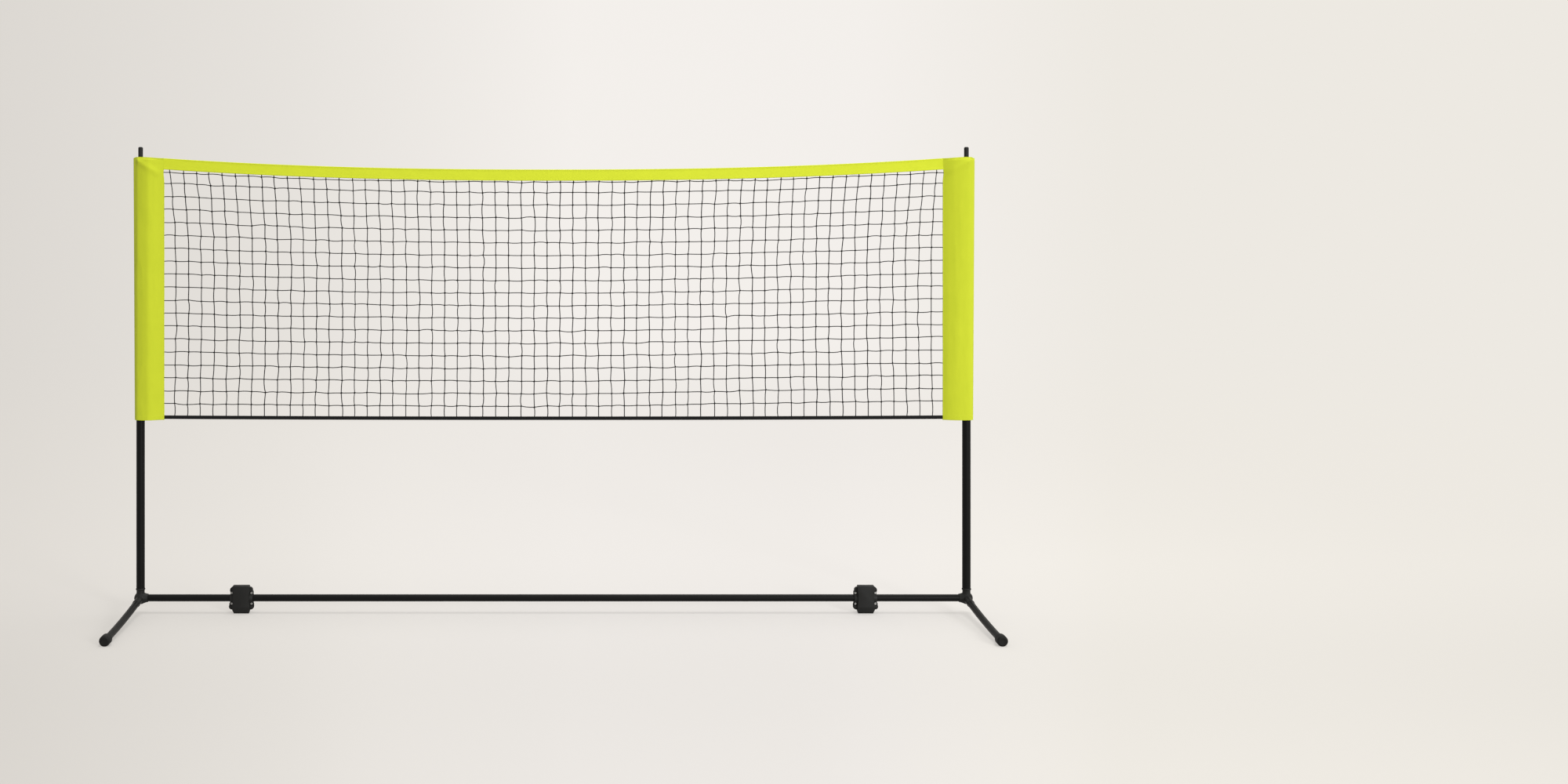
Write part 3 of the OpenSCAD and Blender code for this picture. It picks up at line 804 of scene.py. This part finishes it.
tape_end = 1.4185
# Painted light: the tape is the sleeves' polyester in a paler tone, for the light it catches over
# them.
lime_tape_painted_lighter = woven("lime_polyester_painted_lighter", (0.76, 0.84, 0.038), (0.66, 0.75, 0.030), 300)
top_tape_h = 0.041
cording_r = 0.0022
tape_steps = 320  # from the middle to each end
tape_stitch = 0.0036


def bow(x):
    return 1 - min(1, abs(x) / net_half_w) ** 2.3


def top_edge(x):
    return sleeve_high - 0.004 - 0.041 * bow(x)


def top_tape_row(x):
    """The tape's section at x, from its front lower edge over the fold to the back one."""
    spread = 0.0018 * (1 - ease(abs(x), 1.35, 1.411))
    half = []
    for drop, h in (
        (0.0406, 0.0011), (0.0392, 0.0016), (0.0372, 0.0017), (0.0354, 0.0012), (0.0300, 0.0011),
        (0.0220, 0.0012), (0.0140, 0.0011), (0.0070, 0.0010), (0.0045, 0.0009), (0.0022, 0.0008),
    ):
        wave = 0.0005 * noise.noise((x * 22, drop * 40, 5)) * ease(drop, 0.004, 0.012)
        half.append((h + spread * ease(drop, 0.002, 0.036), wave, top_edge(x) - drop))
    fold = [Vector((x, net_y, top_edge(x) - 0.0009))]
    front = [Vector((x, net_y - h + wave, z)) for h, wave, z in half]
    back = [Vector((x, net_y + h + wave, z)) for h, wave, z in reversed(half)]
    return front + fold + back


columns = [tape_end * (k / tape_steps - 1) for k in range(2 * tape_steps + 1)]
top_tape = cloth_from("top_tape_cloth", [([top_tape_row(x) for x in columns], True)])
finish_with(top_tape, "SOLIDIFY", thickness=0.0010, offset=0, use_even_offset=True)
top_tape.data.materials.append(lime_tape_painted_lighter)
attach(top_tape, "net_set")
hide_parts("top_tape")

cording = rope(
    "top_tape_cording",
    [[Vector((x, net_y, top_edge(x) - 0.0021)) for x in columns[2:-2]]], cording_r, 3,
)
cording.data.materials.append(lime_tape_painted_lighter)
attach(cording, "net_set")

seams = [
    [
        (Vector((x, net_y + face * (0.0017 + lean), top_edge(x) - drop)), Vector((0, face, 0)))
        for x in columns if abs(x) < 1.35
    ]
    for face in (-1, 1) for drop, lean in ((0.0052, 0.0001), (0.0356, 0.0018))
]
tape_stitches = stitched("top_tape_stitches", seams, tape_stitch, lime_thread, "net_set")

# ---- Bottom tape -----------------------------------------------------------------------------
# Black polyester webbing folded up round the net's lower edge and sewn along its middle. The ends
# go into the sleeves' bindings.

bottom_tape_h = 0.013
black_webbing = woven("black_webbing", (0.006, 0.0061, 0.0065), (0.002, 0.002, 0.0023), 260)
black_thread = spun("black_thread", (0.005, 0.005, 0.0055), (0.013, 0.013, 0.014))


def bottom_edge(x):
    return sleeve_low + 0.003 - 0.004 * bow(x)


def bottom_tape_row(x):
    half = []
    for rise, h in (
        (0.0128, 0.0010), (0.0115, 0.0013), (0.0090, 0.0012), (0.0070, 0.0007), (0.0052, 0.0012),
        (0.0025, 0.0014), (0.0010, 0.0009),
    ):
        wave = 0.0004 * noise.noise((x * 30, rise * 90, 9))
        half.append((h, wave, bottom_edge(x) + rise))
    front = [Vector((x, net_y - h + wave, z)) for h, wave, z in half]
    back = [Vector((x, net_y + h + wave, z)) for h, wave, z in reversed(half)]
    return front + [Vector((x, net_y, bottom_edge(x) + 0.0005))] + back


bottom_end = 1.4165
columns = [bottom_end * (k / tape_steps - 1) for k in range(2 * tape_steps + 1)]
bottom_tape = cloth_from("bottom_tape_webbing", [([bottom_tape_row(x) for x in columns], False)])
finish_with(bottom_tape, "SOLIDIFY", thickness=0.0009, offset=0, use_even_offset=True)
bottom_tape.data.materials.append(black_webbing)
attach(bottom_tape, "net_set")
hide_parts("bottom_tape")

seams = [
    [
        (Vector((x, net_y + face * 0.0012, bottom_edge(x) + 0.0070)), Vector((0, face, 0)))
        for x in columns[2:-2]
    ]
    for face in (-1, 1)
]
webbing_stitches = stitched("bottom_tape_stitches", seams, tape_stitch, black_thread, "net_set")

# ---- Net -------------------------------------------------------------------------------------
# Knotted black cord, 60 cords down and 19 across. The ends run into the tapes and the bindings, and
# the gaps wander a little, as a hand-tied net's do.

cords_down = 60
cords_across = 19
gap = 0.0465
first_lack = 0.17  # the top row of gaps is this share shorter than the others
cord_r = 0.0017
knot_r = 0.0034
knot_depth = 0.0026
draw = random.Random(11)


def knot_place(i, k):
    level = 0 if k == 0 else (k - first_lack) / (cords_across - 1 - first_lack)
    middle = i - (cords_down - 1) / 2
    pitch = gap + 0.0007 * max(0, 1 - level / 0.45) ** 2  # wider near the top tape
    pitch += 0.0002 * max(0, level / 0.4 - 1.5) ** 2  # and near the bottom one
    x = middle * pitch
    spread = (x / net_half_w) ** 2
    head = top_edge(x) - top_tape_h - 0.0050 - 0.0050 * spread ** 2
    foot = bottom_edge(x) + bottom_tape_h + 0.037 + 0.006 * spread + 0.010 * ease(x, 0, 0.9)
    stray = Vector((draw.gauss(0, 0.0012), draw.gauss(0, 0.0005), draw.gauss(0, 0.0011)))
    return Vector((x, net_y, head + (foot - head) * level)) + stray


knots = [[knot_place(i, k) for k in range(cords_across)] for i in range(cords_down)]


def slack_line(places):
    """A cord through knots, slightly bowed between them."""
    line = [places[0]]
    for a, b in zip(places, places[1:]):
        along = (b - a).normalized()
        aside = along.cross(Vector((0, 1, 0)))
        bow_out = aside * draw.gauss(0, 0.0009) + Vector((0, draw.gauss(0, 0.0006), 0))
        for share in (1 / 3, 2 / 3):
            line.append(a.lerp(b, share) + bow_out * min(1, (b - a).length / 0.03))
        line.append(b)
    return line


# The cords down end inside the tapes, the cords across inside the bindings
lines = []
for column in knots:
    top, bottom = column[0], column[-1]
    head = Vector((top.x, net_y, top_edge(top.x) - top_tape_h + 0.004))
    foot = Vector((bottom.x, net_y, bottom_edge(bottom.x) + bottom_tape_h - 0.005))
    lines.append(slack_line([head, *column, foot]))
for k in range(cords_across):
    row = [column[k] for column in knots]
    left, right = (
        Vector((side * (net_half_w + 0.003), net_y, outermost.z))
        for side, outermost in ((-1, row[0]), (1, row[-1]))
    )
    lines.append(slack_line([left, *row, right]))
net = rope("net_cords", lines, cord_r, 1)

# One lumpy knot, copied to each crossing at its own size and turn
bpy.ops.mesh.primitive_uv_sphere_add(segments=7, ring_count=5, radius=1)
knot = bpy.context.object
for corner in knot.data.vertices:
    turn = math.atan2(corner.co.z, corner.co.x)
    corner.co *= 1 + 0.16 * math.sin(2 * turn + 0.6) + 0.10 * math.sin(5 * turn)
shape = bmesh.new()
for place in (place for column in knots for place in column):
    fresh = bmesh.new()
    fresh.from_mesh(knot.data)
    size = draw.uniform(0.92, 1.12)
    turned = Matrix.Rotation(draw.uniform(-0.6, 0.6) + draw.choice((0, math.pi)), 4, "Y")
    scaled = Matrix.Diagonal((knot_r * size, knot_depth * size, knot_r * size, 1))
    fresh.transform(Matrix.Translation(place) @ turned @ scaled)
    loose = bpy.data.meshes.new("loose_knot")
    fresh.to_mesh(loose)
    fresh.free()
    shape.from_mesh(loose)
    bpy.data.meshes.remove(loose)
shape.to_mesh(knot.data)
shape.free()
pick(knot)
bpy.ops.object.shade_smooth()

# The knots get the cord's black made darker still: painted shade for their tight turns.
net.data.materials.append(spun("black_net_cord", (0.007, 0.007, 0.0073), (0.018, 0.018, 0.0186)))
knot.data.materials.append(spun("black_net_knot_painted_shade", (0.002, 0.002, 0.0023), (0.006, 0.006, 0.0065)))
pick(knot, net)
bpy.ops.object.join()
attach(net, "net_set")
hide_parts("net_mesh")
